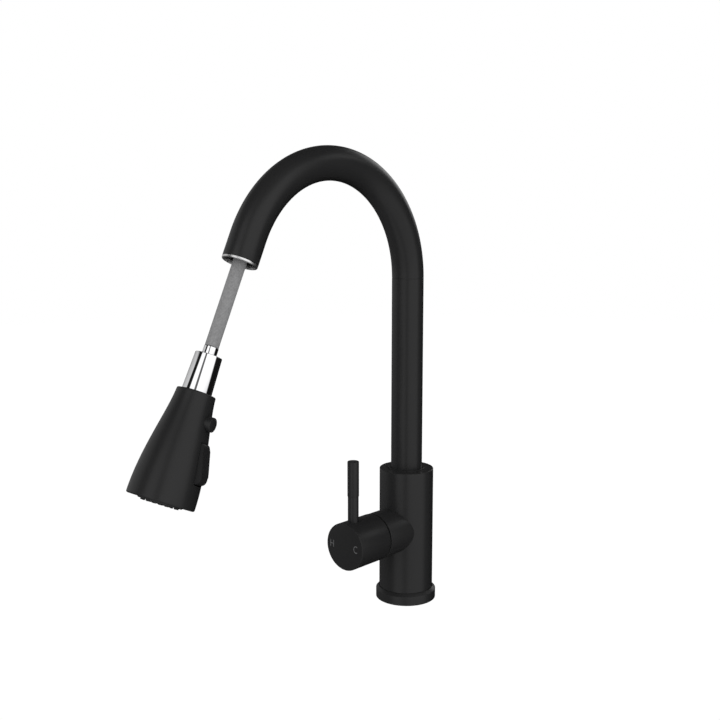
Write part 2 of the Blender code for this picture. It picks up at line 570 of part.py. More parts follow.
side = [(34.7, 20.8), (36.0, 21.9), (38.8, 23.0), (44.4, 24.5), (50.0, 26.0), (55.6, 27.6), (58.5, 28.1),
        (61.0, 27.9), (62.8, 26.9), (63.9, 25.2), (64.2, 24.0), (64.2, 15.5), (34.7, 15.5)]
side = [(down - PADDLE_AT, PADDLE_PIVOT - out) for down, out in side]
paddle = piece("mode_paddle", prism(side, -5.6, 5.6), PADDLE, "black", paddle_axis)
combine(paddle, cutter("paddle_bore", rod(1.3, -8.0, 8.0, 16), PADDLE))
piece("paddle_pin", rod(1.0, -6.3, 6.3, 16), PADDLE, "steel", head_axis)
piece("rocker_arm", block(-1.2, 1.2, -1.1, 1.1, 2.6, 15.2), ARM, "white_plastic", paddle_axis)
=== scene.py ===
"""Looks of the pull-down kitchen faucet: fine surfaces, materials, studio light and camera.

Sizes and outlines are in millimetres, each outline in the frame of the piece it belongs to, and make() scales
them by MM. An outline is a list of (radius, height) or (radius, height, fillet), turned about the Z axis.
"""
import json
import math

import bmesh
import bpy
from mathutils import Matrix, Vector


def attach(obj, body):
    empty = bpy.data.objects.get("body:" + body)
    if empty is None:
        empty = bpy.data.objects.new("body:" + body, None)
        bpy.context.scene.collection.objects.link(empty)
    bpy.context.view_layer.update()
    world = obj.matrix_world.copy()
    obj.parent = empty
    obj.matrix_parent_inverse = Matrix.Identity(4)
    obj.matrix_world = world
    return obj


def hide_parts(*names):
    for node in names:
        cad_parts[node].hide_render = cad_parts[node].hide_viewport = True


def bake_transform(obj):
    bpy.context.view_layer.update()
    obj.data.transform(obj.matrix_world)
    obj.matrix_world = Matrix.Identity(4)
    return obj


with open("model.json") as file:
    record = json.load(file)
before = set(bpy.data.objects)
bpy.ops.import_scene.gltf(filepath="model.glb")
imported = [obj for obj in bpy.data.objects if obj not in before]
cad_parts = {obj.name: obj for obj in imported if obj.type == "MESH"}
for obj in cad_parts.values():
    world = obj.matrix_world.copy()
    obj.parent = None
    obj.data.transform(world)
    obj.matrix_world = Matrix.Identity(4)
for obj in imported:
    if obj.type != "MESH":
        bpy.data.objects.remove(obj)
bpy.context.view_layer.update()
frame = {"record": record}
scene = bpy.context.scene
MM = 0.001
GRAIN_DEPTH = 0.2 * MM
FUZZ_DEPTH = 0.1 * MM

# ------------------------------------------------------------------ sizes, millimetres
FLANGE_RADIUS = 27.25
FLANGE_SIDE = 8.1
FLANGE_TOP = 10.6
BODY_RADIUS = 24.3
BODY_BORE = 21.3
BODY_TOP = 121.6
PIPE_RADIUS = 14.0
PIPE_BORE = 12.8
PIPE_FOOT = 92.0
BEND_START = 293.73
BEND_RADIUS = 97.76
BEND_ANGLE = math.radians(154.67)
TAIL_LENGTH = 20.6
TUBE_END = 1.3
HANDLE_HEIGHT = 67.0
STUB_RADIUS = 20.5
STUB_BORE = 14.3
STUB_FACE = 43.9
PIVOT_DEPTH = 34.0
CLEAR_RADIUS = 23.3
CAP_RADIUS = 20.8
CAP_BORE = 18.2
CAP_FACE = 82.0
CAP_FLOOR = CAP_FACE - 3.5
LEVER_DEPTH = 71.05
LEVER_STEP = 110.0
LEVER_TOP = 140.8
HOSE_RADIUS = 5.35
HOSE_HIDDEN = 35.7
HOSE_SHOWN = 66.9
HEAD_TOP = 101.9
HEAD_LENGTH = 83.0
HEAD_WALL = 2.2
HEAD_NECK = 14.7
HEAD_SWELL = 10.7
FLARE_LENGTH = 81.3
SPRAY_FACE = HEAD_TOP + 83.9
INSERT_BACK = HEAD_TOP + 70.3
BUTTON_AT = 20.2
BUTTON_TURN = math.radians(22.0)
PADDLE_AT = 49.5
PADDLE_PIVOT = 17.6
PADDLE_HALF = 5.6

# ------------------------------------------------------------------ camera
VIEW_TURN = math.radians(39.9)
VIEW_DISTANCE = 0.93294
VIEW_HEIGHT = 0.36985
VIEW_YAW = math.radians(-2.59)
VIEW_PITCH = math.radians(-9.12)
LENS = 52.84
toward = Vector((math.sin(VIEW_TURN), -math.cos(VIEW_TURN), 0.0))
across = Vector((math.cos(VIEW_TURN), math.sin(VIEW_TURN), 0.0))
camera = bpy.data.objects.new("camera", bpy.data.cameras.new("camera"))
scene.collection.objects.link(camera)
scene.camera = camera
camera.location = toward * VIEW_DISTANCE + Vector((0.0, 0.0, VIEW_HEIGHT))
level = -toward * math.cos(VIEW_YAW) + across * math.sin(VIEW_YAW)
aim = level * math.cos(VIEW_PITCH) + Vector((0.0, 0.0, math.sin(VIEW_PITCH)))
camera.rotation_euler = aim.to_track_quat("-Z", "Y").to_euler()
camera.data.lens = LENS
camera.data.sensor_width = 36.0
camera.data.clip_start = 0.01
camera.data.clip_end = 50.0
scene.view_settings.view_transform = "Standard"
scene.view_settings.look = "None"


# ------------------------------------------------------------------ node helpers
def add(tree, kind, **settings):
    node = tree.nodes.new(kind)
    for key, value in settings.items():
        setattr(node, key, value)
    return node


def maths(tree, operation, *values):
    node = add(tree, "ShaderNodeMath", operation=operation)
    for slot, value in enumerate(values):
        if isinstance(value, (int, float)):
            node.inputs[slot].default_value = value
        else:
            tree.links.new(value, node.inputs[slot])
    return node.outputs[0]


def ramp(tree, factor, stops):
    """Colour ramp through stops of (place, grey) or (place, colour)."""
    node = add(tree, "ShaderNodeValToRGB")
    elements = node.color_ramp.elements
    while len(elements) < len(stops):
        elements.new(0.5)
    for element, (place, colour) in zip(elements, stops):
        element.position = place
        if isinstance(colour, (int, float)):
            colour = (colour, colour, colour)
        element.color = (*colour, 1.0)
    tree.links.new(factor, node.inputs[0])
    return node.outputs[0]


def noise(tree, vector, scale, detail=3.0, rough=0.55):
    node = add(tree, "ShaderNodeTexNoise")
    node.inputs["Scale"].default_value = scale
    node.inputs["Detail"].default_value = detail
    node.inputs["Roughness"].default_value = rough
    tree.links.new(vector, node.inputs["Vector"])
    return node.outputs["Fac"]


def vector_maths(tree, operation, first, second):
    node = add(tree, "ShaderNodeVectorMath", operation=operation)
    tree.links.new(first, node.inputs[0])
    tree.links.new(second, node.inputs[1])
    return node.outputs[0]


def surface(name, metallic, roughness, specular):
    """A new material, its node tree, its shader and a point on the surface to read patterns from."""
    made = bpy.data.materials.new(name)
    made.use_nodes = True
    tree = made.node_tree
    shader = tree.nodes["Principled BSDF"]
    shader.inputs["Metallic"].default_value = metallic
    shader.inputs["Roughness"].default_value = roughness
    shader.inputs["Specular IOR Level"].default_value = specular
    spot = add(tree, "ShaderNodeTexCoord").outputs["Object"]
    return made, tree, shader, spot


def bump(tree, shader, height, strength, distance):
    node = add(tree, "ShaderNodeBump")
    node.inputs["Strength"].default_value = strength
    node.inputs["Distance"].default_value = distance
    tree.links.new(height, node.inputs["Height"])
    tree.links.new(node.outputs["Normal"], shader.inputs["Normal"])


def mottled(name, dark, light, scale, metallic, gloss, grain=0.0, grain_scale=900.0, specular=0.5):
    """A surface whose colour and roughness drift a little, with a fine grain."""
    made, tree, shader, spot = surface(name, metallic, 0.5 * (gloss[0] + gloss[1]), specular)
    drift = noise(tree, spot, scale)
    tree.links.new(ramp(tree, drift, [(0.3, dark), (0.7, light)]), shader.inputs["Base Color"])
    spread = add(tree, "ShaderNodeMapRange")
    spread.inputs["From Min"].default_value = 0.3
    spread.inputs["From Max"].default_value = 0.7
    spread.inputs["To Min"].default_value = gloss[0]
    spread.inputs["To Max"].default_value = gloss[1]
    tree.links.new(noise(tree, spot, scale * 3.0), spread.inputs["Value"])
    tree.links.new(spread.outputs["Result"], shader.inputs["Roughness"])
    if grain:
        bump(tree, shader, noise(tree, spot, grain_scale, 2.0), grain, GRAIN_DEPTH)
    return made


black = mottled("black_coat", (0.0185, 0.0185, 0.0189), (0.0202, 0.0202, 0.0206), 18.0, 0.0, (0.31, 0.35),
                grain=0.08, grain_scale=1600.0, specular=0.22)
paddle_black = mottled("satin_rocker", (0.0150, 0.0150, 0.0154), (0.0170, 0.0170, 0.0174), 40.0, 0.0,
                       (0.45, 0.52), grain=0.10, grain_scale=1300.0, specular=0.10)
# painted shade: a near-black look that stands in for the shadow in the gap between the valve stub and the cap
gap_shadow_black = mottled("shadow_gap", (0.003, 0.003, 0.003), (0.005, 0.005, 0.005), 60.0, 0.0, (0.6, 0.7),
                    specular=0.1)
black_moulding = mottled("black_moulding", (0.0150, 0.0150, 0.0155), (0.0180, 0.0180, 0.0185), 40.0, 0.0,
                         (0.42, 0.50), grain=0.14, grain_scale=1300.0, specular=0.32)
face_plastic = mottled("face_plastic", (0.016, 0.016, 0.017), (0.024, 0.024, 0.025), 60.0, 0.0, (0.45, 0.55),
                       grain=0.12, grain_scale=1200.0, specular=0.45)
chrome = mottled("polished_chrome", (0.83, 0.83, 0.84), (0.88, 0.88, 0.89), 25.0, 1.0, (0.03, 0.07))
steel = mottled("bare_steel", (0.52, 0.52, 0.52), (0.62, 0.62, 0.62), 60.0, 1.0, (0.20, 0.32),
                grain=0.05, grain_scale=2500.0)
brass = mottled("machined_brass", (0.55, 0.38, 0.15), (0.66, 0.47, 0.20), 60.0, 1.0, (0.24, 0.36),
                grain=0.05, grain_scale=2500.0)
rubber = mottled("moulded_rubber", (0.012, 0.012, 0.012), (0.020, 0.020, 0.020), 90.0, 0.0, (0.70, 0.85),
                 grain=0.2, grain_scale=1800.0, specular=0.3)
pale = mottled("pale_moulding", (0.62, 0.61, 0.58), (0.70, 0.69, 0.66), 60.0, 0.0, (0.38, 0.48),
               grain=0.08, grain_scale=1400.0)
ceramic = mottled("ground_ceramic", (0.78, 0.76, 0.71), (0.84, 0.82, 0.78), 120.0, 0.0, (0.12, 0.20))
bright_steel = mottled("polished_steel", (0.74, 0.74, 0.74), (0.80, 0.80, 0.80), 60.0, 1.0, (0.32, 0.38))
mark_grey = mottled("mark_paint", (0.12, 0.12, 0.122), (0.15, 0.15, 0.152), 300.0, 0.0, (0.5, 0.6),
                    specular=0.2)


def braid_material():
    """Woven grey sleeve: two sets of slanting strands that cross, read from the tube's own map, painted
    darker in the dips of the tube's relief and lighter on its crowns, with a random fuzz.
    """
    made, tree, shader, spot = surface("grey_braid", 0.0, 0.62, 0.35)
    chart = add(tree, "ShaderNodeUVMap")
    chart.uv_map = "weave"
    parts = add(tree, "ShaderNodeSeparateXYZ")
    tree.links.new(chart.outputs["UV"], parts.inputs[0])
    strands = []
    for slant in ("ADD", "SUBTRACT"):
        phase = maths(tree, slant, parts.outputs[0], parts.outputs[1])
        strands.append(maths(tree, "SINE", maths(tree, "MULTIPLY", phase, 2.0 * math.pi)))
    # painted shade and light: this term follows the relief that hose_tube gives the radius, dark in its dips
    # and light on its crowns; the fuzz below is random tone
    weave = maths(tree, "MULTIPLY", maths(tree, "MULTIPLY", *strands), 0.26)
    fuzz = maths(tree, "MULTIPLY", noise(tree, spot, 520.0, 5.0, 0.7), 0.90)
    shade = maths(tree, "ADD", maths(tree, "ADD", weave, fuzz), 0.05)
    colour = ramp(tree, shade, [(0.10, (0.150, 0.150, 0.153)), (0.50, (0.270, 0.270, 0.273)),
                                (0.90, (0.370, 0.370, 0.374))])
    tree.links.new(colour, shader.inputs["Base Color"])
    bump(tree, shader, noise(tree, spot, 3000.0, 2.0), 0.35, FUZZ_DEPTH)
    return made


braid = braid_material()
LOOK_OF_SLOT = {
    "black_paint": black, "black_plastic": black_moulding, "chrome": chrome, "steel": steel, "brass": brass,
    "rubber": rubber, "white_plastic": pale, "ceramic": ceramic, "braid": braid,
}
slot_of = {item["node"]: item["material_slot"] for item in frame["record"]["subparts"]}


# ------------------------------------------------------------------ mesh helpers
def placed(origin, x_axis=(1, 0, 0), z_axis=(0, 0, 1)):
    """World matrix of a frame whose origin is in millimetres."""
    x_axis = Vector(x_axis).normalized()
    z_axis = Vector(z_axis).normalized()
    y_axis = z_axis.cross(x_axis)
    matrix = Matrix((x_axis, y_axis, z_axis)).transposed().to_4x4()
    matrix.translation = Vector(origin) * MM
    return matrix


def rounded(points, steps=5):
    """A closed outline with each fillet made into a short arc."""
    out = []
    total = len(points)
    for index, point in enumerate(points):
        here = Vector(point[:2])
        fillet = point[2] if len(point) > 2 else 0.0
        if not fillet:
            out.append(here)
            continue
        before = (Vector(points[index - 1][:2]) - here).normalized()
        after = (Vector(points[(index + 1) % total][:2]) - here).normalized()
        half = before.angle(after) / 2.0
        reach = fillet / math.tan(half)
        centre = here + (before + after).normalized() * (fillet / math.sin(half))
        start = here + before * reach - centre
        end = here + after * reach - centre
        sweep_angle = math.pi - 2 * half
        for step in range(steps + 1):
            part = step / steps
            arm = (start * math.sin((1 - part) * sweep_angle)
                   + end * math.sin(part * sweep_angle)) / math.sin(sweep_angle)
            out.append(centre + arm)
    return [(p.x, p.y) for p in out]


def circle(bm, radius, height, sides):
    """A ring of vertices round the frame's Z axis; height is a number or a function of the ring's x."""
    ring = []
    for k in range(sides):
        turn = 2 * math.pi * k / sides
        x = radius * math.cos(turn)
        ring.append(bm.verts.new((x, radius * math.sin(turn), height(x) if callable(height) else height)))
    return ring


def bridge(bm, first, second):
    """Faces between two rings; a ring that is one repeated vertex makes a fan."""
    for k in range(len(first)):
        j = (k + 1) % len(first)
        bm.faces.new(list(dict.fromkeys((first[k], first[j], second[j], second[k]))))


def lathe(outline, sides=128):
    """Turn a closed outline about the Z axis."""
    bm = bmesh.new()
    rows = []
    for radius, height in outline:
        if radius < 1e-6:
            rows.append([bm.verts.new((0.0, 0.0, height))] * sides)
        else:
            rows.append(circle(bm, radius, height, sides))
    for first, second in zip(rows, rows[1:] + rows[:1]):
        on_the_axis = first[0] is first[1] and second[0] is second[1]
        if not on_the_axis:
            bridge(bm, first, second)
    return bm


def sweep(stations, sides, closed=False):
    """A tube through rings at stations of (centre, side, up, radius), its ends joined together or capped."""
    bm = bmesh.new()
    rows = []
    for centre, side, up, radius in stations:
        rows.append([bm.verts.new(centre + radius * (math.cos(2 * math.pi * k / sides) * side
                                                     + math.sin(2 * math.pi * k / sides) * up))
                     for k in range(sides)])
    for first, second in zip(rows, rows[1:]):
        bridge(bm, first, second)
    if closed:
        bridge(bm, rows[-1], rows[0])
    else:
        bm.faces.new(rows[0])
        bm.faces.new(rows[-1])
    return bm


def make(name, bm, home, look, body=None, nodes=(), sharp=32.0):
    """Turn a bmesh in millimetres into a piece, on its body and in place of its CAD nodes."""
    bmesh.ops.scale(bm, vec=(MM, MM, MM), verts=bm.verts)
    bmesh.ops.recalc_face_normals(bm, faces=bm.faces)
    mesh = bpy.data.meshes.new(name)
    bm.to_mesh(mesh)
    bm.free()
    mesh.shade_smooth()
    mesh.set_sharp_from_angle(angle=math.radians(sharp))
    thing = bpy.data.objects.new(name, mesh)
    mesh.materials.append(look)
    scene.collection.objects.link(thing)
    thing.matrix_world = home
    if body:
        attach(thing, body)
        if nodes:
            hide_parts(*nodes)
    return thing


def carve(thing, cutters, sharp=32.0):
    """Cut tool shapes out of a piece for good."""
    tools = []
    for bm, home in cutters:
        tool = make("tool", bm, home, black)
        change = thing.modifiers.new("cut", "BOOLEAN")
        change.operation = "DIFFERENCE"
        change.solver = "EXACT"
        change.object = tool
        tools.append(tool)
    bpy.context.view_layer.update()
    graph = bpy.context.evaluated_depsgraph_get()
    fresh = bpy.data.meshes.new_from_object(thing.evaluated_get(graph))
    thing.modifiers.clear()
    thing.data = fresh
    fresh.shade_smooth()
    fresh.set_sharp_from_angle(angle=math.radians(sharp))
    for tool in tools:
        bpy.data.objects.remove(tool, do_unlink=True)


def soft_box(x_low, x_high, y_low, y_high, z_low, z_high, soften):
    """A box with rounded edges."""
    bm = bmesh.new()
    bmesh.ops.create_cube(bm, size=1.0)
    bmesh.ops.scale(bm, vec=(x_high - x_low, y_high - y_low, z_high - z_low), verts=bm.verts)
    bmesh.ops.translate(bm, vec=((x_low + x_high) / 2, (y_low + y_high) / 2, (z_low + z_high) / 2),
                        verts=bm.verts)
    bmesh.ops.bevel(bm, geom=bm.edges[:], offset=soften, segments=4, affect="EDGES", profile=0.5)
    return bm


# ------------------------------------------------------------------ frames on the object
OUTLET_AXIS = Vector((0, -math.sin(BEND_ANGLE), math.cos(BEND_ANGLE)))
ARCH_LENGTH = TAIL_LENGTH + BEND_RADIUS * BEND_ANGLE


def bend_point(angle):
    """Centre of the spout's bend, at an angle from its start."""
    return Vector((0, BEND_RADIUS * (math.cos(angle) - 1.0), BEND_START + BEND_RADIUS * math.sin(angle)))


OUTLET = bend_point(BEND_ANGLE) + OUTLET_AXIS * TAIL_LENGTH
SIDE_X = Vector((1, 0, 0))
HEAD_FRONT = OUTLET_AXIS.cross(SIDE_X)
CONTROL = math.cos(BUTTON_TURN) * SIDE_X - math.sin(BUTTON_TURN) * HEAD_FRONT
WORLD = Matrix.Identity(4)
HANDLE = placed((0, 0, HANDLE_HEIGHT), (1, 0, 0), (0, -1, 0))
HEAD = placed(OUTLET, (1, 0, 0), OUTLET_AXIS)
BUTTON = placed(OUTLET + OUTLET_AXIS * (HEAD_TOP + BUTTON_AT), OUTLET_AXIS, CONTROL)
PADDLE = placed(OUTLET + OUTLET_AXIS * (HEAD_TOP + PADDLE_AT) + CONTROL * PADDLE_PIVOT, OUTLET_AXIS,
                CONTROL.cross(OUTLET_AXIS))
ARM = placed(OUTLET + OUTLET_AXIS * (HEAD_TOP + PADDLE_AT), OUTLET_AXIS, CONTROL)


def spout_point(back):
    """Centre and direction of the spout pipe at a distance back from its outlet."""
    if back <= TAIL_LENGTH:
        return OUTLET - OUTLET_AXIS * back, OUTLET_AXIS
    angle = BEND_ANGLE - (back - TAIL_LENGTH) / BEND_RADIUS
    if angle >= 0.0:
        return bend_point(angle), Vector((0, -math.sin(angle), math.cos(angle)))
    return Vector((0, 0, BEND_START + BEND_RADIUS * angle)), Vector((0, 0, 1))


def sphere_height(radius, out):
    """Height in the handle's frame of a sphere about its pivot, at a distance out from the axis."""
    return PIVOT_DEPTH + math.sqrt(radius * radius - out * out)


# ------------------------------------------------------------------ the hose between the spout and the head
def hose_tube(sides=112, step=0.25, strands=18.0, pitch=2.0):
    """Braided tube along the spout's centre line and straight on below the outlet."""
    length = HOSE_HIDDEN + HOSE_SHOWN
    count = int(round(length / step))
    bm = bmesh.new()
    weave = bm.loops.layers.uv.new("weave")
    rows = []
    for index in range(count + 1):
        along = -HOSE_HIDDEN + length * index / count
        if along < 0.0:
            centre, direction = spout_point(-along)
        else:
            centre, direction = OUTLET + OUTLET_AXIS * along, OUTLET_AXIS
        up = direction.cross(SIDE_X)
        row = []
        for k in range(sides):
            turn = 2 * math.pi * k / sides
            lean = 2 * math.pi * along / pitch
            crossing = math.sin(strands * turn + lean) * math.sin(strands * turn - lean)
            radius = HOSE_RADIUS - 0.06 + 0.055 * crossing
            row.append(bm.verts.new(centre + radius * (math.cos(turn) * SIDE_X + math.sin(turn) * up)))
        rows.append((along, row))
    for (low, first), (high, second) in zip(rows, rows[1:]):
        for k in range(sides):
            j = (k + 1) % sides
            face = bm.faces.new((first[k], first[j], second[j], second[k]))
            charts = ((k, low), (k + 1, low), (k + 1, high), (k, high))
            for loop, (around, along) in zip(face.loops, charts):
                loop[weave].uv = (strands * around / sides, along / pitch)
    bm.faces.new(rows[0][1])
    bm.faces.new(rows[-1][1])
    return bm


hose = make("braided_hose", hose_tube(), WORLD, braid)
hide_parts("hose_exposed")
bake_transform(hose)

# ------------------------------------------------------------------ flange and body
make("flange_shell", lathe(rounded([
    (24.55, 3.4), (16.3, 3.4), (16.3, 0), (18.7, 0), (18.7, 2.1), (22.8, 2.1), (22.8, 0),
    (FLANGE_RADIUS, 0, 0.25), (FLANGE_RADIUS, FLANGE_SIDE, 0.5), (24.9, FLANGE_TOP, 0.2),
    (24.55, FLANGE_TOP)]), 160),
    WORLD, black, "root", ["base_flange"])
make("body_tube", lathe(rounded([
    (BODY_BORE, 3.7), (BODY_RADIUS, 3.7), (BODY_RADIUS, BODY_TOP, 0.6), (16.45, BODY_TOP, 0.25),
    (16.45, BODY_TOP - 4.0), (BODY_BORE, BODY_TOP - 4.0)]), 192),
    WORLD, black, "root", ["body_shell"])
make("spout_collar", lathe(rounded([
    (14.2, 117.6), (16.1, 117.6), (16.1, BODY_TOP + 0.45, 0.25), (14.2, BODY_TOP + 0.45, 0.1)]), 128),
    WORLD, black, "spout", ["spout_trim_ring"])


# ------------------------------------------------------------------ valve stub, saddled on the body
def stub(sides=160):
    front = STUB_FACE - 0.3

    def saddle(x):
        return math.sqrt((BODY_RADIUS - 0.7) ** 2 - x * x)

    bm = bmesh.new()
    face = rounded([(STUB_RADIUS, 30.0), (STUB_RADIUS, front, 0.3), (16.7, front, 0.25), (16.7, 38.2),
                    (STUB_BORE, 38.2), (STUB_BORE, 30.0)])[1:-1]
    rows = [circle(bm, 17.0, saddle, sides), circle(bm, STUB_RADIUS, saddle, sides)]
    rows += [circle(bm, radius, depth, sides) for radius, depth in face + [(STUB_BORE, 25.0)]]
    for first, second in zip(rows, rows[1:] + rows[:1]):
        bridge(bm, first, second)
    return bm


make("valve_stub", stub(), HANDLE, black, "root", ["valve_housing"])

# ------------------------------------------------------------------ handle cap and lever
edge_height = sphere_height(CLEAR_RADIUS, CAP_RADIUS)
cap = make("cap_shell", lathe(rounded([
    (CAP_RADIUS, edge_height + 0.12, 0.3), (CAP_RADIUS, CAP_FACE, 0.4), (0, CAP_FACE), (0, CAP_FLOOR),
    (CAP_BORE, CAP_FLOOR), (CAP_BORE, sphere_height(CLEAR_RADIUS, CAP_BORE))]), 176),
    HANDLE, black, "handle", ["handle_cap"])
LEVER = placed((0, -LEVER_DEPTH, 0))
SCREW = placed((0, -59.0, HANDLE_HEIGHT), (1, 0, 0), (0, 0, -1))
carve(cap, [(lathe([(0, 76), (4.85, 76), (4.85, 92), (0, 92)], 64), LEVER),
            (lathe([(0, 16), (2.9, 16), (2.9, 23), (0, 23)], 40), SCREW)])
make("lever_stem", lathe(rounded([
    (0, 76.3), (4.7, 76.3), (4.7, LEVER_STEP - 0.02, 0.12), (3.4, LEVER_STEP - 0.02), (3.4, 136),
    (0, 136)]), 80), LEVER, black, "handle", ["lever_rod"])
make("lever_grip", lathe(rounded([
    (3.7, LEVER_STEP + 0.04), (5.0, LEVER_STEP + 0.04, 0.15), (5.0, LEVER_TOP, 0.55), (0, LEVER_TOP),
    (0, 136.3), (3.7, 136.3)]), 80), LEVER, black, "handle", ["lever_sleeve"])
make("screw_cover", lathe(rounded([
    (0, 18.3), (2.6, 18.3), (2.6, 20.7, 0.3), (0, 20.7)]), 40),
    SCREW, black_moulding, "handle", ["set_screw_plug"])


def mark(name, letter, x):
    """A generic temperature mark on the cap's end face, narrower than the plain font."""
    curve = bpy.data.curves.new(name, "FONT")
    curve.body = letter
    curve.size = 9.2 * MM
    curve.offset = -0.10 * MM
    curve.extrude = 0.06 * MM
    curve.align_x = "CENTER"
    curve.align_y = "CENTER"
    text = bpy.data.objects.new(name, curve)
    scene.collection.objects.link(text)
    bpy.context.view_layer.update()
    graph = bpy.context.evaluated_depsgraph_get()
    mesh = bpy.data.meshes.new_from_object(text.evaluated_get(graph))
    bpy.data.objects.remove(text, do_unlink=True)
    mesh.transform(Matrix.Diagonal((0.78, 1.0, 1.0, 1.0)))
    mesh.materials.clear()
    mesh.materials.append(mark_grey)
    thing = bpy.data.objects.new(name, mesh)
    scene.collection.objects.link(thing)
    thing.matrix_world = placed((x, -CAP_FACE - 0.02, HANDLE_HEIGHT + 0.1), (1, 0, 0), (0, -1, 0))
    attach(thing, "handle")


mark("hot_mark", "H", -14.8)
mark("cold_mark", "C", 12.6)


# ------------------------------------------------------------------ spout
def spout_pipe():
    """Riser, bend and tail in one tube: up the outside from the foot to the outlet, then back up the bore."""
    foot = ARCH_LENGTH + BEND_START - PIPE_FOOT
    groove = PIPE_RADIUS - 0.16
    outside = [(foot, PIPE_RADIUS)]
    for height in (120.0, 200.0, 280.0, BEND_START - 0.35, BEND_START - 0.2):
        outside.append((ARCH_LENGTH + BEND_START - height, PIPE_RADIUS))
    outside += [(ARCH_LENGTH + 0.1, groove), (ARCH_LENGTH - 0.1, groove), (ARCH_LENGTH - 0.25, PIPE_RADIUS)]
    for step in range(1, 151):
        outside.append((ARCH_LENGTH - 0.4 - (ARCH_LENGTH - TAIL_LENGTH - 0.4) * step / 150, PIPE_RADIUS))
    outside += [(10.0, PIPE_RADIUS), (TUBE_END + 0.3, PIPE_RADIUS), (TUBE_END + 0.05, PIPE_RADIUS - 0.1),
                (TUBE_END, PIPE_RADIUS - 0.3)]
    inside = [(back, PIPE_BORE) for back in (TUBE_END, 12.0, TAIL_LENGTH)]
    for step in range(1, 31):
        inside.append((TAIL_LENGTH + (ARCH_LENGTH - TAIL_LENGTH) * step / 30, PIPE_BORE))
    inside.append((foot, PIPE_BORE))
    stations = []
    for back, radius in outside + inside:
        centre, along = spout_point(back)
        stations.append((centre, SIDE_X, along.cross(SIDE_X), radius))
    return sweep(stations, 112, closed=True)


make("spout_pipe", spout_pipe(), WORLD, black, "spout", ["spout_tube"])
make("outlet_rim", lathe(rounded([
    (11.9, -1.9), (12.5, -1.9), (12.5, -1.05), (13.95, -1.05, 0.15), (13.95, 0.9, 0.8),
    (11.9, 0.9, 0.4)]), 144), HEAD, bright_steel, "spout", ["outlet_ring"])
make("rim_sleeve", lathe([(11.8, -10), (12.5, -10), (12.5, -2.0), (11.8, -2.0)], 96), HEAD, black_moulding,
     "spout")
make("dock_liner", lathe([(11.7, -20), (12.5, -20), (12.5, -10.3), (11.7, -10.3)], 96), HEAD, black_moulding,
     "spout", ["dock_bush"])

# ------------------------------------------------------------------ ferrule and stem
make("ferrule", lathe(rounded([
    (3.2, 67.2), (5.5, 67.2, 0.3), (5.5, 73.1, 0.3), (3.2, 73.1)]), 96), HEAD, chrome, "hose_end",
    ["hose_ferrule"])
make("chrome_stem", lathe(rounded([
    (3.3, 73.4), (10.2, 73.4, 0.5), (11.2, HEAD_TOP - 0.1, 0.2), (9.0, HEAD_TOP - 0.1),
    (9.0, HEAD_TOP + 12.0), (5.7, HEAD_TOP + 12.0), (5.7, 75.5), (3.3, 75.5)]), 128),
    HEAD, chrome, "head", ["head_stem"])


# ------------------------------------------------------------------ spray head
def head_radius(down):
    """The casing's S-shaped flare, from its neck to its rim."""
    part = min(max(down / FLARE_LENGTH, 0.0), 1.0) ** 0.80
    return HEAD_NECK + HEAD_SWELL * part * part * (3.0 - 2.0 * part)


def casing_outline():
    rim = head_radius(HEAD_LENGTH)
    rim_bend = 1.4
    outline = [(9.4, 0.2), (HEAD_NECK - 0.9, 0.2), (HEAD_NECK - 0.4, 0.32), (HEAD_NECK - 0.12, 0.6)]
    for step in range(1, 74):
        down = 1.1 * step
        outline.append((head_radius(down), down))
    for step in range(8):
        bend = math.radians(90.0 * step / 7)
        outline.append((rim - rim_bend + rim_bend * math.cos(bend),
                        HEAD_LENGTH - rim_bend + rim_bend * math.sin(bend)))
    outline += [(rim - HEAD_WALL + 0.2, HEAD_LENGTH), (rim - HEAD_WALL, HEAD_LENGTH - 0.25)]
    for step in range(24, 0, -1):
        down = 3.2 * step
        outline.append((head_radius(down) - HEAD_WALL, down))
    outline.append((9.4, 3.2))
    return [(radius, HEAD_TOP + down) for radius, down in outline]


shell = make("head_casing", lathe(casing_outline(), 176), HEAD, black, "head", ["head_shell"])
carve(shell, [(lathe([(0, 8), (5.7, 8), (5.7, 30), (0, 30)], 72), BUTTON),
              (soft_box(34.3 - PADDLE_AT, 64.9 - PADDLE_AT, -5.8, 5.8, 13.0, 34.0, 1.4), ARM)])

make("spray_ring", lathe(rounded([
    (21.6, INSERT_BACK), (21.6, HEAD_TOP + 82.1, 0.3), (17.0, HEAD_TOP + 82.1, 0.3),
    (17.0, INSERT_BACK)]), 128), HEAD, face_plastic, "head", ["face_ring"])
make("spray_plate", lathe(rounded([
    (6.2, HEAD_TOP + 75.5), (15.2, HEAD_TOP + 75.5), (15.2, INSERT_BACK), (16.7, INSERT_BACK),
    (16.7, SPRAY_FACE, 0.8), (6.2, SPRAY_FACE, 0.3)]), 128), HEAD, face_plastic, "head",
    ["spray_face"])
make("nozzle_sheet", lathe([
    (6.3, HEAD_TOP + 73.6), (14.9, HEAD_TOP + 73.6), (14.9, HEAD_TOP + 75.2), (6.3, HEAD_TOP + 75.2)], 96),
    HEAD, rubber, "head", ["nozzle_mat"])
nozzle_count = 0
for around, out in ((12, 9.4), (18, 13.4)):
    for step in range(around):
        angle = 2.0 * math.pi * step / around
        nozzle_count += 1
        tip = lathe(rounded([(0.35, -1.0), (1.15, -1.0), (0.85, 1.0, 0.25), (0.35, 1.0)]), 24)
        centre = (out * math.cos(angle), out * math.sin(angle), SPRAY_FACE)
        bmesh.ops.translate(tip, vec=centre, verts=tip.verts)
        make("nozzle_tip_%02d" % nozzle_count, tip, HEAD, rubber, "head")
make("aerator_ring", lathe(rounded([
    (4.4, INSERT_BACK), (5.9, INSERT_BACK), (5.9, HEAD_TOP + 83.6, 0.3), (4.4, HEAD_TOP + 83.6, 0.3)]), 72),
    HEAD, black_moulding, "head", ["aerator"])

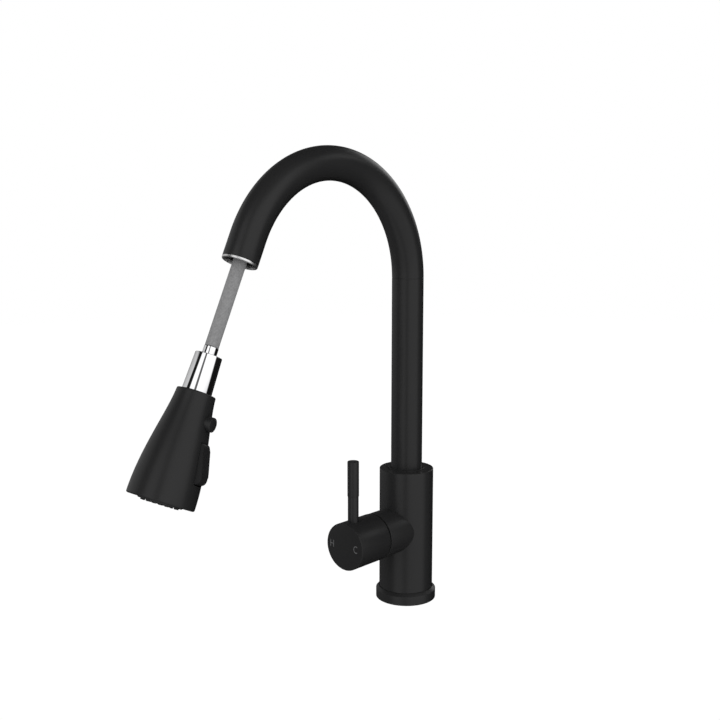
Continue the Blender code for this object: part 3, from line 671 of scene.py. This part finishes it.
# ------------------------------------------------------------------ pause button and mode paddle
make("button_cap", lathe(rounded([
    (0, 6.0), (1.7, 6.0), (1.7, 14.0), (5.55, 14.0), (5.45, 21.2, 0.5), (4.0, 21.55), (2.0, 21.9),
    (0, 22.0)]), 80), BUTTON, black_moulding, "button", ["pause_button"])


def coil(turns=3, steps=40, radius=3.3, wire=0.35, foot=9.3, height=3.9):
    """Return spring under the button, a round wire wound three times."""
    upward = Vector((0, 0, 1))
    stations = []
    for step in range(turns * steps + 1):
        turn = 2 * math.pi * step / steps
        outward = Vector((math.cos(turn), math.sin(turn), 0))
        centre = outward * radius + upward * (foot + height * step / (turns * steps))
        stations.append((centre, outward, upward, wire))
    return sweep(stations, 10)


spring = make("coil_spring", coil(), BUTTON, steel)
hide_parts("button_spring")
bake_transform(spring)


def paddle():
    """Rocker seen from its side: the outer face swells towards its lower end."""
    side = [(34.7, 20.4), (34.9, 20.9), (35.8, 21.8), (37.2, 22.5), (39.0, 23.0), (42.0, 23.8), (46.0, 24.9),
            (50.0, 26.0), (54.0, 27.1), (57.0, 27.8), (59.4, 28.1), (61.2, 27.8), (62.7, 26.9), (63.8, 25.3),
            (64.2, 24.0), (64.2, 15.5), (34.7, 15.5)]
    bm = bmesh.new()
    layers = []
    for height in (-PADDLE_HALF, PADDLE_HALF):
        layers.append([bm.verts.new((down - PADDLE_AT, PADDLE_PIVOT - out, height)) for down, out in side])
    bridge(bm, *layers)
    ends = [bm.faces.new(layer) for layer in layers]
    edges = [edge for face in ends for edge in face.edges]
    bmesh.ops.bevel(bm, geom=edges, offset=1.1, segments=6, affect="EDGES", profile=0.5, clamp_overlap=True)
    return bm


make("paddle_cap", paddle(), PADDLE, paddle_black, "paddle", ["mode_paddle"], 40.0)

# ------------------------------------------------------------------ the CAD pieces take their finishes
for name, slot in slot_of.items():
    node = bpy.data.objects[name]
    node.data.materials.clear()
    # the cartridge dome, seen through that gap, takes the painted gap shade instead of its own finish
    node.data.materials.append(gap_shadow_black if name == "cartridge_dome" else LOOK_OF_SLOT[slot])

# ------------------------------------------------------------------ floor
FLOOR_RADIUS = 2.2
FLOOR_GLOW = 1.02
floor_mesh = bpy.data.meshes.new("floor")
floor_bm = bmesh.new()
bmesh.ops.create_circle(floor_bm, cap_ends=True, segments=96, radius=FLOOR_RADIUS)
floor_bm.to_mesh(floor_mesh)
floor_bm.free()
floor = bpy.data.objects.new("floor", floor_mesh)
scene.collection.objects.link(floor)
floor.location = (0.0, 0.0, -0.0002)
floor_look, _, floor_shader, _ = surface("white_sweep", 0.0, 0.9, 0.0)
floor_shader.inputs["Base Color"].default_value = (0.0, 0.0, 0.0, 1.0)
floor_shader.inputs["Emission Color"].default_value = (1.0, 1.0, 1.0, 1.0)
floor_shader.inputs["Emission Strength"].default_value = FLOOR_GLOW
floor_mesh.materials.append(floor_look)
floor.visible_glossy = False
floor.visible_diffuse = False

# ------------------------------------------------------------------ studio: a white tent with dark gaps in it
world = bpy.data.worlds.new("studio")
scene.world = world
world.use_nodes = True
tree = world.node_tree
tree.nodes.clear()
axes = add(tree, "ShaderNodeSeparateXYZ")
tree.links.new(add(tree, "ShaderNodeTexCoord").outputs["Generated"], axes.inputs[0])

# azimuth round the object, 0 to 1 with 0.5 on the side that faces the viewer, and height, 0.5 at the horizon
turn = maths(tree, "ARCTAN2", axes.outputs[0], maths(tree, "MULTIPLY", axes.outputs[1], -1.0))
turn = maths(tree, "WRAP", maths(tree, "SUBTRACT", turn, VIEW_TURN), math.pi, -math.pi)
turn = maths(tree, "ADD", maths(tree, "DIVIDE", turn, 2.0 * math.pi), 0.5)
rise = maths(tree, "ADD", maths(tree, "MULTIPLY", axes.outputs[2], 0.5), 0.5)


def at(degrees):
    return (degrees + 180.0) / 360.0


def panel(around, up):
    """Light that varies with azimuth, times its fall-off with height."""
    return vector_maths(tree, "MULTIPLY", ramp(tree, turn, around), ramp(tree, rise, up))


def softbox(places, levels, strength):
    """A soft window of light: a span of azimuth times a span of height."""
    profile = (0.0, 1.0, 1.0, 0.0)
    around = [(at(place), level) for place, level in zip(places, profile)]
    up = [(level, strength * part) for level, part in zip(levels, profile)]
    return panel([(0.0, 0.0), *around, (1.0, 0.0)], [(0.0, 0.0), *up, (1.0, 0.0)])


def background(colour):
    node = add(tree, "ShaderNodeBackground")
    tree.links.new(colour, node.inputs["Color"])
    return node.outputs[0]


def either(test, no, yes):
    node = add(tree, "ShaderNodeMixShader")
    tree.links.new(test, node.inputs[0])
    tree.links.new(no, node.inputs[1])
    tree.links.new(yes, node.inputs[2])
    return node.outputs[0]


front_panels = panel(
    [(0.0, 0.01), (at(-53), 0.01), (at(-49), 1.12), (at(-13), 1.12), (at(-10), 0.12), (at(4), 0.12),
     (at(7), 1.15), (at(80), 1.12), (at(86), 0.01), (1.0, 0.01)],
    [(0.0, 0.50), (0.25, 0.62), (0.36, 0.66), (0.46, 0.94), (0.55, 1.1), (0.84, 1.1), (0.90, 0.25),
     (1.0, 0.10)])
left_panel = panel(
    [(0.0, 0.08), (at(-165), 0.06), (at(-150), 0.32), (at(-120), 0.56), (at(-84), 0.68), (at(-81), 0.0),
     (1.0, 0.0)],
    [(0.0, 0.2), (0.38, 0.25), (0.46, 1.0), (0.74, 1.0), (0.80, 0.1), (1.0, 0.05)])
arch_light = softbox((96, 102, 112, 118), (0.66, 0.70, 0.79, 0.84), 1.3)
back_light = softbox((130, 138, 160, 170), (0.53, 0.56, 0.71, 0.78), 1.5)
tent = front_panels
for light in (left_panel, arch_light, back_light):
    tent = vector_maths(tree, "MAXIMUM", tent, light)
wash = ramp(tree, turn, [(0.0, 0.45), (at(-90), 0.70), (at(-40), 0.97), (at(30), 1.0), (at(80), 0.8),
                         (at(130), 0.55), (1.0, 0.50)])
plain = add(tree, "ShaderNodeBackground")
plain.inputs["Color"].default_value = (1.0, 1.0, 1.0, 1.0)

# reflections see the tent, diffuse light comes from the wash, and the viewer sees plain white
rays = add(tree, "ShaderNodeLightPath").outputs
lit = either(rays["Is Glossy Ray"], background(wash), background(tent))
seen = either(rays["Is Camera Ray"], lit, plain.outputs[0])
tree.links.new(seen, add(tree, "ShaderNodeOutputWorld").inputs["Surface"])
